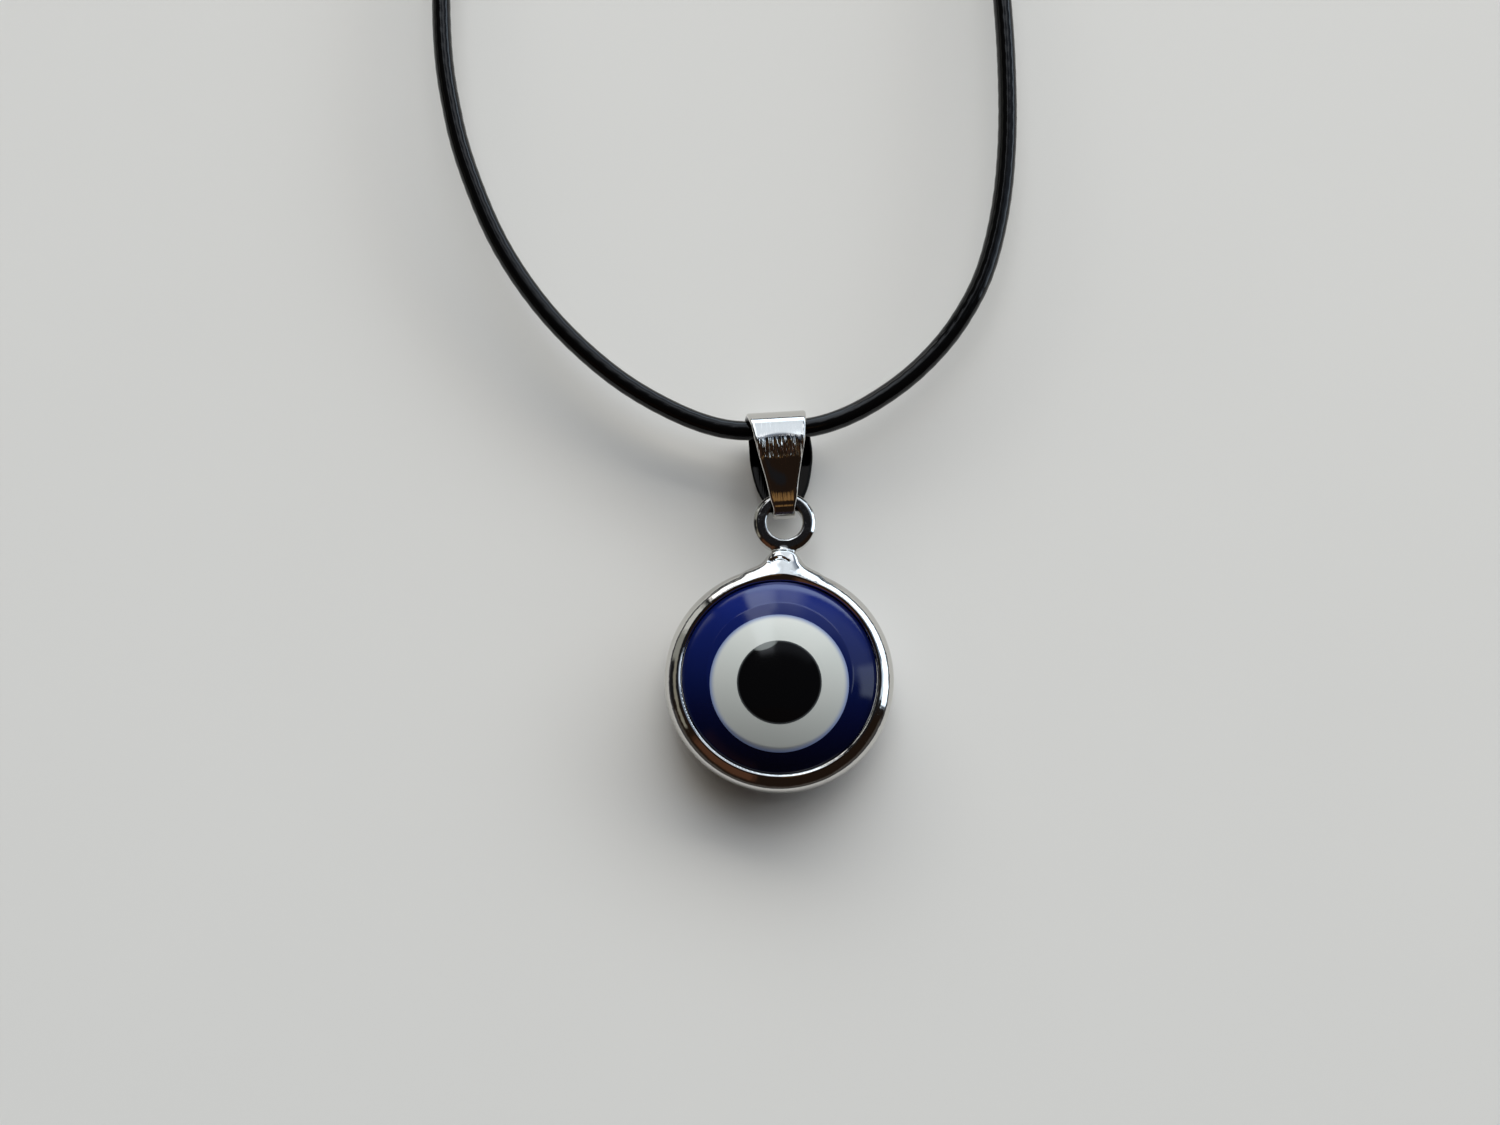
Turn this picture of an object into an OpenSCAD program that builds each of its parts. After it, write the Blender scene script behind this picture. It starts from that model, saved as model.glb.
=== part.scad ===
// Evil eye pendant on a waxed neck cord, lying face up. Millimetres, +Z up, +Y from the bead to the bail.
// The origin is on the surface below the middle of the pendant, without the cord and its clasp.

/* [Frame] */
// Diameter of the opening that the bead fills
opening_d = 14.5; // [13:0.25:16.5]
// Width of the frame from its opening to its outer side
rim_w = 1.25; // [1.1:0.05:1.6]
// Thickness of the frame, front to back
frame_t = 3; // [2.4:0.1:3.4]
// Radius of the rounded outer side beyond half the thickness of the frame
side_ease = 0.15; // [0.05:0.05:0.4]
// Width of the bevel round the opening
opening_bevel = 0.22; // [0.1:0.02:0.3]

/* [Eye ring] */
// Distance from the outer side of the frame to the middle of the eye ring
neck_reach = 3.5; // [3:0.1:5.5]
// Outer diameter of the eye ring
ring_od = 4.7; // [4.4:0.1:5.5]
// Diameter of the hole in the eye ring
ring_hole = 2.7; // [2.4:0.1:3]
// Thickness of the eye ring, front to back
ring_t = 1.1; // [0.9:0.05:1.4]
// Width of the bevel round the outside of the eye ring
ring_bevel = 0.25; // [0.1:0.05:0.35]
// Width of the bevel round the hole
hole_bevel = 0.1; // [0.05:0.01:0.2]
// Width of the neck between the frame and the eye ring
neck_w = 2.2; // [1.6:0.1:2.8]
// Thickness of the neck where it meets the frame
neck_root_t = 2.6; // [1.6:0.1:2.8]
// Thickness of the neck where it meets the eye ring
neck_tip_t = 1.3; // [1.1:0.1:1.6]
// Radius of the flare where the neck meets the frame
neck_flare = 1; // [0.6:0.1:1.3]

/* [Bead] */
// Clearance between the bead and the frame
bead_gap = 0.05; // [0.02:0.01:0.15]
// Height of the straight edge of the bead
bead_edge = 2.2; // [1.8:0.1:2.6]
// Radius of the flat dome over the middle of each face
cap_r = 30; // [24:1:40]
// Diameter of that flat dome
cap_d = 10.8; // [9:0.2:12]
// Radius of the rounder dome from there to the edge
shoulder_r = 14; // [12:0.5:16]
// Diameter of the white iris
iris_d = 10.2; // [9:0.2:11.4]
// Thickness of the white layer where it is thinnest
iris_t = 0.5; // [0.3:0.1:0.8]
// Diameter of the black pupil
pupil_d = 6.2; // [5:0.2:7]
// Thickness of the black layer where it is thinnest
pupil_t = 0.4; // [0.3:0.1:0.6]
// Distance of the pattern below the middle of the bead
pattern_drop = 0.65; // [0:0.05:0.9]
// Clearance between the layers of the pattern
layer_gap = 0.03; // [0.02:0.01:0.06]

/* [Bail] */
// Length of the bail from its tip to its crown
bail_len = 8.4; // [7.4:0.2:10]
// Depth of the crown, front to back
crown_depth = 4.7; // [4.2:0.1:5.4]
// Width of the crown
crown_w = 4.6; // [4:0.1:5.4]
// Thickness of the sheet
sheet_t = 0.4; // [0.3:0.05:0.5]
// Distance from the middle of the eye ring to the end of the tip
tip_above = 0.33; // [0.25:0.02:0.45]
// Clearance between the eye ring and the legs of the bail
ring_play = 0.25; // [0.2:0.01:0.4]
// Clearance between the tip and the sides of the hole it passes through
tip_play = 0.5; // [0.45:0.01:0.65]
// Angle that the bail leans to the left
bail_lean = 6.6; // [0:0.2:8]
// Angle that the bail is twisted about its length
bail_twist = 3; // [0:0.5:4]
// Depth of the hollow along the front leg
dish_depth = 0.15; // [0.05:0.01:0.2]
// Distance from the round tip to the start of the hollow
dish_start = 0.55; // [0.4:0.05:1]
// Width of each raised edge beside the hollow
edge_w = 0.3; // [0.2:0.05:0.4]

/* [Cord] */
// Diameter of the waxed cord
cord_d = 1.5; // [1:0.1:2]
// Clearance round the cord and at its ends in the clasp
cord_gap = 0.1; // [0.08:0.01:0.15]
// Length of the clasp
clasp_len = 14; // [12:0.5:18]
// Diameter of the clasp
clasp_d = 4; // [3.4:0.1:4]
// Width of the bevel round each end of the clasp
clasp_bevel = 0.6; // [0.3:0.1:0.8]

/* [Hidden] */
$fn = 96;
// Sides of the large spheres of the bead, of which only a small cap is used
dome_fn = 288;
// Extra length of a cut past the face that it leaves by
over = 1;

// The frame, its rounded outer side and the place of its eye ring
frame_od = opening_d + 2 * rim_w;
side_r = frame_t / 2 + side_ease;
ring_reach = frame_od / 2 + neck_reach;
ring_mid_r = (ring_od + ring_hole) / 4;
neck_foot_y = frame_od / 2 - side_r / 2;
neck_top_y = ring_reach - ring_mid_r;

// Fall of a sphere from its top at a distance from its middle
function sphere_fall(r, reach) = r - sqrt(r * r - reach * reach);

// Fall of a face of the bead from its middle, over the flat dome and then the rounder one
cap_fall = sphere_fall(cap_r, cap_d / 2);
shoulder_lift = sphere_fall(shoulder_r, cap_d / 2) - cap_fall;
function face_fall(reach) =
    reach < cap_d / 2 ? sphere_fall(cap_r, reach) : sphere_fall(shoulder_r, reach) - shoulder_lift;

// The bead's edge, its height and the floors of the pattern
bead_r = opening_d / 2 - bead_gap;
bead_h = bead_edge + 2 * face_fall(bead_r);
iris_floor = bead_h - face_fall(iris_d / 2 + pattern_drop) - iris_t;
pupil_floor = bead_h - face_fall(pupil_d / 2 + pattern_drop) - pupil_t;

// The fillet beside the neck touches the frame and the neck
flare_x = neck_w / 2 + neck_flare;
flare_reach = frame_od / 2 + neck_flare;
flare_y = sqrt(flare_reach * flare_reach - flare_x * flare_x);
foot_x = flare_x * frame_od / 2 / flare_reach;

// The bail in its own view, with Y along its length from the middle of the eye ring and Z to the front
tip_w = ring_hole - 2 * tip_play;
tip_r = ring_t / 2 + ring_play + sheet_t;
crown_r = crown_depth / 2;
tip_y = tip_above + tip_r;
crown_y = tip_above + bail_len - crown_r;
leg_tilt = asin((crown_r - tip_r) / (crown_y - tip_y));
leg_len = (crown_y - tip_y) * cos(leg_tilt);
// The faces of the legs lie this far inside the tangent of the round ends
face_set_in = 0.002;

// Outlines of the two legs, the share of the length from the tip and the share of the widening to the crown
front_leg = [[0, 0], [0.08, 0], [0.17, 0.13], [0.34, 0.3], [0.63, 0.68], [0.78, 0.83], [1, 1]];
back_leg = [[0, 0], [0.08, 0], [0.19, 0.41], [0.34, 0.79], [0.55, 1.04], [0.72, 1.1], [1, 1]];

// The pendant lies flat on the surface, on the back of the bead or on the back of the bail
back_w = tip_w + (crown_w - tip_w) * max([for (row = back_leg) row[1]]);
bail_drop = crown_r * cos(bail_twist) + back_w / 2 * sin(bail_twist);
mid_z = max(bead_h / 2, bail_drop);

// The hollow of the front leg is part of a cone, from near the tip to where the crown has fallen below it
dish_end = leg_len + sqrt(2 * crown_r * dish_depth);
dish_tip_w = leg_width(front_leg, (tip_r + dish_start) / bail_len) - 2 * edge_w;
dish_top_w = leg_width(front_leg, 1 - crown_r / bail_len) - 2 * edge_w;
dish_tip_r = dish_tip_w * dish_tip_w / 8 / dish_depth + dish_depth / 2;
dish_top_r = dish_top_w * dish_top_w / 8 / dish_depth + dish_depth / 2;
dish_angle = atan((dish_top_r - dish_tip_r) / (dish_end - dish_start));

// The pendant is centred on the origin between the bottom of the frame and the top of the bail
bail_top = (tip_above + bail_len) * cos(bail_lean) + crown_w / 2 * sin(bail_lean);
frame_y = (frame_od / 2 - ring_reach - bail_top) / 2;
ring_y = frame_y + ring_reach;

// Centre line of the cord, from the left end in the clasp, through the bail, to the right end in the clasp
cord_route = [
    [-12, 211, 2], [-16, 211, 2], [-20.4, 210.3, 1.8], [-25.2, 207.4, 1.2], [-28.6, 202, 0.8],
    [-30.2, 194, 0.8], [-31, 176, 0.8], [-31.4, 150, 0.8], [-31.4, 124, 0.8], [-31.1, 100, 1],
    [-30.5, 78, 1.6], [-29.8, 61, 2.4], [-28.8, 46, 2.9], [-27.3, 38, 3], [-25.2, 32, 3],
    [-22.4, 26.5, 2.9], [-18.5, 21.4, 2.8], [-13.8, 17.2, 2.7], [-9.2, 14.5, 2.6], [-5, 13.1, 2.5],
    [-0.9, 13.1, 2.5], [2.7, 13.7, 2.5], [6.2, 15.4, 2.6], [9.9, 18.4, 2.7], [13, 22.4, 2.8],
    [15.2, 27.5, 2.9], [16.4, 35, 3], [16.4, 45, 2.9], [15.2, 61, 2.4], [14.5, 78, 1.6],
    [14.2, 100, 1], [14.2, 124, 0.8], [14.4, 150, 0.8], [14.4, 176, 0.8], [14, 194, 0.8],
    [12.6, 202, 0.8], [9.2, 207.4, 1.2], [4.4, 210.3, 1.8], [0, 211, 2], [-4, 211, 2]
];
cord_sides = 8;
cord_steps = 2;
clasp_axis = cord_route[len(cord_route) - 1] - cord_route[0];
clasp_mid = (cord_route[len(cord_route) - 1] + cord_route[0]) / 2;
clasp_turn = atan2(clasp_axis.y, clasp_axis.x);
clasp_web = norm(clasp_axis) - 2 * cord_gap;

// Width of a leg at a share of the length from the tip
function leg_width(outline, share) = tip_w + (crown_w - tip_w) * lookup(share, outline);

// Point between the second and the third of four neighbours of the route
function between(a, b, c, d, t) =
    0.5 * (2 * b + (c - a) * t + (2 * a - 5 * b + 4 * c - d) * t * t + (3 * b - a - 3 * c + d) * t * t * t);

// The route with steps added between its points, where each end is its own neighbour
function smooth(route, steps) = let (last = len(route) - 1) [
    for (i = [0 : last - 1], s = [0 : steps - 1])
        between(route[max(i - 1, 0)], route[i], route[i + 1], route[min(i + 2, last)], s / steps),
    route[last]
];

function unit(v) = v / norm(v);

// Points round one place of the line, level with the surface
function ring_points(line, i, r, sides) = let (
    last = len(line) - 1,
    along = unit(line[min(i + 1, last)] - line[max(i - 1, 0)]),
    side = unit(cross(along, [0, 0, 1])),
    up = cross(side, along)
) [
    for (k = [0 : sides - 1]) let (a = 360 * (k + 0.5) / sides) line[i] + r * (cos(a) * side + sin(a) * up)
];

module tube(line, r, sides) {
    rings = len(line);
    points = [for (i = [0 : rings - 1]) each ring_points(line, i, r, sides)];
    walls = [
        for (i = [0 : rings - 2], k = [0 : sides - 1]) let (n = (k + 1) % sides)
            [i * sides + k, i * sides + n, (i + 1) * sides + n, (i + 1) * sides + k]
    ];
    start_cap = [for (k = [sides - 1 : -1 : 0]) k];
    end_cap = [for (k = [0 : sides - 1]) (rings - 1) * sides + k];
    polyhedron(points = points, faces = concat([start_cap], walls, [end_cap]), convexity = 10);
}

// Half-round section of the frame with a bevel round the opening on both faces
module frame_section() {
    inner_r = opening_d / 2;
    difference() {
        intersection() {
            translate([inner_r, -frame_t / 2]) square([frame_od / 2 - inner_r, frame_t]);
            translate([frame_od / 2 - side_r, 0]) circle(side_r);
        }
        for (side = [-1, 1])
            polygon([
                [inner_r - over, side * (frame_t / 2 - opening_bevel - over)],
                [inner_r + opening_bevel + over, side * (frame_t / 2 + over)],
                [inner_r - over, side * (frame_t / 2 + over)]
            ]);
    }
}

// Flat section of the eye ring with a bevel round its outside and its hole
module ring_section() {
    hole_r = ring_hole / 2;
    outer_r = ring_od / 2;
    half_t = ring_t / 2;
    polygon([
        [hole_r, -half_t + hole_bevel],
        [hole_r + hole_bevel, -half_t],
        [outer_r - ring_bevel, -half_t],
        [outer_r, -half_t + ring_bevel],
        [outer_r, half_t - ring_bevel],
        [outer_r - ring_bevel, half_t],
        [hole_r + hole_bevel, half_t],
        [hole_r, half_t - hole_bevel]
    ]);
}

// Plan of the neck, from inside the frame to inside the eye ring
module neck_plan() {
    difference() {
        union() {
            translate([-foot_x, neck_foot_y]) square([2 * foot_x, flare_y - neck_foot_y]);
            translate([-neck_w / 2, neck_foot_y]) square([neck_w, neck_top_y - neck_foot_y]);
        }
        for (side = [-1, 1])
            translate([side * flare_x, flare_y]) circle(neck_flare);
    }
}

// Side view of the neck, which thins from the frame to the eye ring
module neck_side() {
    polygon([
        [neck_foot_y, -neck_root_t / 2],
        [neck_top_y, -neck_tip_t / 2],
        [neck_top_y, neck_tip_t / 2],
        [neck_foot_y, neck_root_t / 2]
    ]);
}

module setting() {
    color("silver") translate([0, frame_y, mid_z]) {
        rotate_extrude() frame_section();
        intersection() {
            translate([0, 0, -neck_root_t]) linear_extrude(2 * neck_root_t) difference() {
                neck_plan();
                translate([0, ring_reach]) circle(ring_mid_r);
            }
            rotate([90, 0, 90]) linear_extrude(2 * foot_x + over, center = true) neck_side();
        }
        translate([0, ring_reach, 0]) rotate_extrude() ring_section();
    }
}

// Lens with a straight edge and, on each side, a flat dome inside a rounder one
module bead_body() {
    intersection() {
        cylinder(r = bead_r, h = bead_h);
        translate([0, 0, cap_r]) sphere(cap_r, $fn = dome_fn);
        translate([0, 0, bead_h - cap_r]) sphere(cap_r, $fn = dome_fn);
        translate([0, 0, shoulder_r - shoulder_lift]) sphere(shoulder_r, $fn = dome_fn);
        translate([0, 0, bead_h + shoulder_lift - shoulder_r]) sphere(shoulder_r, $fn = dome_fn);
    }
}

// Round space under the front of the bead, down to a floor
module pattern_layer(d, floor_z) {
    translate([0, -pattern_drop, floor_z]) cylinder(d = d, h = bead_h);
}

module eye_bead() {
    color("mediumblue") translate([0, frame_y, mid_z - bead_h / 2]) difference() {
        bead_body();
        pattern_layer(iris_d + 2 * layer_gap, iris_floor - layer_gap);
    }
}

module iris() {
    color("white") translate([0, frame_y, mid_z - bead_h / 2]) difference() {
        intersection() {
            bead_body();
            pattern_layer(iris_d, iris_floor);
        }
        pattern_layer(pupil_d + 2 * layer_gap, pupil_floor - layer_gap);
    }
}

module pupil() {
    color("black") translate([0, frame_y, mid_z - bead_h / 2]) intersection() {
        bead_body();
        pattern_layer(pupil_d, pupil_floor);
    }
}

// Space across the bail, round at the crown and the tip, taken in by an inset
module bail_round(inset) {
    tip_in = tip_r - inset;
    crown_in = crown_r - inset;
    tip_face = tip_in - face_set_in;
    crown_face = crown_in - face_set_in;
    rotate([90, 0, 90]) {
        translate([tip_y, 0]) cylinder(r = tip_in, h = 2 * crown_w, center = true);
        translate([crown_y, 0]) cylinder(r = crown_in, h = 2 * crown_w, center = true);
        linear_extrude(2 * crown_w, center = true) polygon([
            [tip_y - tip_face * sin(leg_tilt), tip_face * cos(leg_tilt)],
            [crown_y - crown_face * sin(leg_tilt), crown_face * cos(leg_tilt)],
            [crown_y - crown_face * sin(leg_tilt), -crown_face * cos(leg_tilt)],
            [tip_y - tip_face * sin(leg_tilt), -tip_face * cos(leg_tilt)]
        ]);
    }
}

// Front view of one leg, from the end of the tip to the top of the crown
module leg_plan(outline) {
    rows = len(outline);
    polygon([
        for (i = [0 : rows - 1]) leg_corner(outline[i], 1),
        for (i = [rows - 1 : -1 : 0]) leg_corner(outline[i], -1)
    ]);
}

function leg_corner(row, side) =
    [side * (tip_w + (crown_w - tip_w) * row[1]) / 2, tip_above + bail_len * row[0]];

// Cone that hollows the front leg, its lowest line at an even depth below the face of the leg
module dish() {
    translate([0, tip_y - tip_r * sin(leg_tilt), tip_r * cos(leg_tilt)])
        rotate([leg_tilt, 0, 0])
        translate([0, dish_start, -dish_depth])
        rotate([dish_angle - 90, 0, 0])
        translate([0, -dish_tip_r * cos(dish_angle), 0])
        cylinder(
            h = (dish_end - dish_start) * cos(dish_angle),
            r1 = dish_tip_r * cos(dish_angle),
            r2 = dish_top_r * cos(dish_angle)
        );
}

module bail() {
    color("silver")
    translate([0, ring_y, mid_z]) rotate([0, 0, bail_lean]) rotate([0, bail_twist, 0]) difference() {
        intersection() {
            difference() {
                bail_round(0);
                bail_round(sheet_t);
            }
            union() {
                linear_extrude(crown_depth) leg_plan(front_leg);
                translate([0, 0, -crown_depth]) linear_extrude(crown_depth) leg_plan(back_leg);
            }
        }
        dish();
    }
}

module neck_cord() {
    color("black") tube(smooth(cord_route, cord_steps), cord_d / 2, cord_sides);
}

// Plain barrel with a blind hole at each end for the cord
module clasp() {
    hole_depth = (clasp_len - clasp_web) / 2;
    color("silver") translate(clasp_mid) rotate([0, 90, clasp_turn]) difference() {
        rotate_extrude() polygon([
            [0, -clasp_len / 2],
            [clasp_d / 2 - clasp_bevel, -clasp_len / 2],
            [clasp_d / 2, -clasp_len / 2 + clasp_bevel],
            [clasp_d / 2, clasp_len / 2 - clasp_bevel],
            [clasp_d / 2 - clasp_bevel, clasp_len / 2],
            [0, clasp_len / 2]
        ]);
        translate([0, 0, clasp_web / 2]) cylinder(d = cord_d + 2 * cord_gap, h = hole_depth + over);
        translate([0, 0, -clasp_len / 2 - over]) cylinder(d = cord_d + 2 * cord_gap, h = hole_depth + over);
    }
}

setting();
eye_bead();
iris();
pupil();
bail();
neck_cord();
clasp();
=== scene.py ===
"""Looks of the evil eye pendant on its neck cord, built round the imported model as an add-on."""
import math

import bpy
import numpy as np
from bpy.props import FloatProperty, FloatVectorProperty, IntProperty, PointerProperty
from mathutils import Matrix, Vector


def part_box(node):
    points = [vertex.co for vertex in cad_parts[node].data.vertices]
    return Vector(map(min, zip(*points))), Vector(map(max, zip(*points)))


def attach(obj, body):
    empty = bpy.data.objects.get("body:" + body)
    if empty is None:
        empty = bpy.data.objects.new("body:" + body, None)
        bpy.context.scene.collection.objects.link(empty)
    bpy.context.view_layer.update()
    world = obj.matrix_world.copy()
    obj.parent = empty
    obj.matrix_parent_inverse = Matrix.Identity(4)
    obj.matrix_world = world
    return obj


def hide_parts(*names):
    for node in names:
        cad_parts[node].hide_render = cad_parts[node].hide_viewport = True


bl_info = {
    "name": "Evil eye pendant",
    "version": (1, 0, 0),
    "blender": (4, 5, 0),
    "location": "View3D > Sidebar > Pendant",
    "description": "Builds the visible pieces of an evil eye pendant on a waxed neck cord",
    "category": "Object",
}

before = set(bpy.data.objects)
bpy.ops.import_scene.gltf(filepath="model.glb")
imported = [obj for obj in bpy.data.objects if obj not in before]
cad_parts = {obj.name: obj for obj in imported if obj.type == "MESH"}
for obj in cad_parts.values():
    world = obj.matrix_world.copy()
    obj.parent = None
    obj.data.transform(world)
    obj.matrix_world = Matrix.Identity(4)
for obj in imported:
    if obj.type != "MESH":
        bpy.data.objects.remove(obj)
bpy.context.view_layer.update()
MM = 0.001
BODY = "root"

# Places and sizes of the part, in millimetres, with the setting measured from the middle of its frame
SETTING_LOW, SETTING_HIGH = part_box("setting")
FRAME_R = (SETTING_HIGH.x - SETTING_LOW.x) / MM / 2
FRAME_Y = SETTING_LOW.y / MM + FRAME_R
MID_Z = (SETTING_HIGH.z + SETTING_LOW.z) / MM / 2
OPENING_R = 7.25
FRAME_HALF_T = 1.5
SIDE_R = 1.65
RING_REACH = 12.0
RING_HOLE_R = 1.35
RING_R = 2.35
RING_MID_R = (RING_HOLE_R + RING_R) / 2
RING_HALF_T = 0.55
NECK_HALF_W = 1.1
NECK_ROOT_HALF_T = 1.3
NECK_TIP_HALF_T = 0.65
NECK_FOOT_Y = FRAME_R - SIDE_R / 2
BEAD_R = 7.2
BEAD_EDGE = 2.2
CAP_R = 30.0
CAP_REACH = 5.4
SHOULDER_R = 14.0
IRIS_R = 5.1
IRIS_T = 0.5
PUPIL_R = 3.1
PUPIL_T = 0.4
PATTERN_DROP = 0.65

# The arch of the frame's section is a little fuller here than in the solids, and the neck flares wider
ARCH_R = 3.07
ARCH_MID_R = 6.03
ARCH_DROP = 1.21
FLARE_R = 2.2

# Rough blocks of the neck, before the skin is drawn to shape: half the width, the top, half the thickness
NECK_BLOCKS = ((NECK_HALF_W, RING_REACH - RING_HOLE_R, 0.9), (1.4, 9.1, 1.0), (2.2, 8.4, 0.9))
SKIN_CELL = 0.09

# The bail, in millimetres, where its tip lies a little above the middle of the eye ring
BAIL_L = 8.4
SHEET_T = 0.4
TIP_ABOVE = 0.33
TIP_W = 1.7
CROWN_W = 4.6
TIP_R = 1.2
CROWN_R = 2.35
EDGE_W = 0.3
CORNER_R = 0.17

# Outlines of its front and back legs: shares of the length from the tip, and of the widening to the crown
FRONT_LEG = ((0, 0), (0.08, 0), (0.17, 0.13), (0.34, 0.3), (0.63, 0.68), (0.78, 0.83), (1, 1))
BACK_LEG = ((0, 0), (0.08, 0), (0.19, 0.41), (0.34, 0.79), (0.55, 1.04), (0.72, 1.1), (1, 1))

# Wrinkles on its front leg: their middle along the strap from the tip, then how far they reach to each side
# in all, and how far at full depth
WRINKLE_AT = 5.55
WRINKLE_REACH = 0.95
WRINKLE_FULL = 0.5

# Millimetres to one unit of the strap's map, and how many units further across its inner side lies
MAP_UNIT = 10
INNER_SHIFT = 1

# The camera, in millimetres and in degrees: how far it leans from straight down, and its turn
CAMERA_PLACE = (-1.122, -34.733, 154.702)
CAMERA_TILT = 13.8
CAMERA_TURN = 2.1

# Dark ground of the room, under its patches
GROUND = ("F0F0FF", 0.005)

# Centre line of the cord from its left end in the clasp, through the bail, to its right end in the clasp
CORD_ROUTE = (
    (-12, 211, 2), (-16, 211, 2), (-20.4, 210.3, 1.8), (-25.2, 207.4, 1.2), (-28.6, 202, 0.8),
    (-30.2, 194, 0.8), (-31, 176, 0.8), (-31.4, 150, 0.8), (-31.4, 124, 0.8), (-31.1, 100, 1),
    (-30.5, 78, 1.6), (-29.8, 61, 2.4), (-28.8, 46, 2.9), (-27.3, 38, 3), (-25.2, 32, 3),
    (-22.4, 26.5, 2.9), (-18.5, 21.4, 2.8), (-13.8, 17.2, 2.7), (-9.2, 14.5, 2.6), (-5, 13.1, 2.5),
    (-0.9, 13.1, 2.5), (2.7, 13.7, 2.5), (6.2, 15.4, 2.6), (9.9, 18.4, 2.7), (13, 22.4, 2.8),
    (15.2, 27.5, 2.9), (16.4, 35, 3), (16.4, 45, 2.9), (15.2, 61, 2.4), (14.5, 78, 1.6),
    (14.2, 100, 1), (14.2, 124, 0.8), (14.4, 150, 0.8), (14.4, 176, 0.8), (14, 194, 0.8),
    (12.6, 202, 0.8), (9.2, 207.4, 1.2), (4.4, 210.3, 1.8), (0, 211, 2), (-4, 211, 2),
)

# What the metal mirrors round the pendant, where each patch is painted over the ones before it. A row has a
# name and, in degrees, the bearing from +Y towards +X, half the width, the height, half the height and the
# softness. The colour and its share of the brightest patch follow.
ROOM = (
    ("camera's side", 180, 85, 45, 60, 14, "FFCBAA", 0.006),
    ("red shelf", -143, 23, 29, 11, 8, "FFB287", 0.032),
    ("lamp shade", 163, 12, 68, 7, 5, "FFC47C", 0.1),
    ("low wall behind the camera", 180, 80, 7, 4, 3, "F2E6DC", 0.03),
    ("left wall", -90, 22, 21, 4, 4, "F2EDD8", 0.11),
    ("left corner", -62, 10, 14, 10, 6, "F4F6EC", 0.12),
    ("left curtain", -48, 8, 12, 12, 5, "F4F6F2", 0.26),
    ("pale curtain", -26, 9, 10, 10, 4, "F8F8F6", 0.8),
    ("high haze", 8, 26, 65, 7, 4, "E8F0FF", 0.07),
    ("upper wall", 42, 36, 43, 18, 10, "CFE2FF", 0.15),
    ("upper panes", 6, 34, 45, 9, 5, "F0F6FF", 0.58),
    ("door", 79, 10, 22, 15, 5, "DCECFF", 0.4),
    ("tall window", -11, 9, 40, 19, 5, "E8F3FF", 0.8),
    ("edge of the tall window", 4, 8, 38, 20, 12, "E8F3FF", 0.44),
    ("pane over the tall window", -12, 7, 64, 8, 4, "F0F6FF", 0.5),
    ("low window", 37, 56, 10.5, 11, 3, "DCEEFF", 1.0),
    ("skirting", 0, 181, 0, 5, 2, "E8E8F0", 0.03),
)


def linear(code):
    """Turn an sRGB hex colour into linear red, green and blue."""
    shares = [int(code[i:i + 2], 16) / 255 for i in (0, 2, 4)]
    return tuple(s / 12.92 if s <= 0.04045 else ((s + 0.055) / 1.055) ** 2.4 for s in shares)


def dimmed(code, share):
    """Give a share of an sRGB hex colour, as linear light."""
    return tuple(share * channel for channel in linear(code))


def rgba(colour):
    """Give a colour the full alpha that a colour socket needs."""
    return (*colour, 1.0)


def scale_for(size_mm):
    """Scale of a noise texture whose features are that many millimetres apart."""
    return 1 / (size_mm * MM)


def eased(share):
    """Ease a share in at nought and out at one, with what lies beyond cut off."""
    share = np.clip(share, 0, 1)
    return share ** 2 * (3 - 2 * share)


def into_scene(name, data):
    """Make an object of its data and link it into the scene."""
    thing = bpy.data.objects.new(name, data)
    bpy.context.scene.collection.objects.link(thing)
    return thing


def set_inputs(node, inputs):
    """Set or link inputs of a node. Another node is linked by the first output that it shows."""
    for key, value in inputs.items():
        if isinstance(value, bpy.types.Node):
            value = next(socket for socket in value.outputs if socket.enabled)
        if isinstance(value, bpy.types.NodeSocket):
            node.id_data.links.new(value, node.inputs[key])
        else:
            node.inputs[key].default_value = value


def add_node(tree, kind, inputs=None, **settings):
    """Add one shader node with its settings, and set or link its inputs."""
    node = tree.nodes.new("ShaderNode" + kind)
    for key, value in settings.items():
        setattr(node, key, value)
    set_inputs(node, inputs or {})
    return node


def start_material(name, inputs):
    """Make a material with one principled shader, whose plain values are set on its own sockets."""
    material = bpy.data.materials.new(name)
    material.use_nodes = True
    tree = material.node_tree
    tree.nodes.clear()
    shader = add_node(tree, "BsdfPrincipled", inputs)
    add_node(tree, "OutputMaterial", {"Surface": shader})
    return material, tree, shader


def smoothed(route, steps):
    """Points of a smooth line through a route, with steps to each span, as the part's source makes them."""
    route = np.asarray(route, float)
    last = len(route) - 1
    shares = np.arange(steps)[:, None] / steps
    spans = []
    for i in range(last):
        a, b, c, d = route[max(i - 1, 0)], route[i], route[i + 1], route[min(i + 2, last)]
        first = (c - a) * shares
        second = (2 * a - 5 * b + 4 * c - d) * shares ** 2
        third = (3 * b - a - 3 * c + d) * shares ** 3
        spans.append(0.5 * (2 * b + first + second + third))
    return np.vstack(spans + [route[last:]])


def grid_faces(rows, columns, closed_rows=False):
    """Faces between rows of points, where each row closes on itself."""
    last = rows if closed_rows else rows - 1
    i, k = np.meshgrid(np.arange(last), np.arange(columns), indexing="ij")
    below = i * columns
    above = (i + 1) % rows * columns
    after = (k + 1) % columns
    return np.stack([below + k, below + after, above + after, above + k], axis=-1).reshape(-1, 4)


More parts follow.
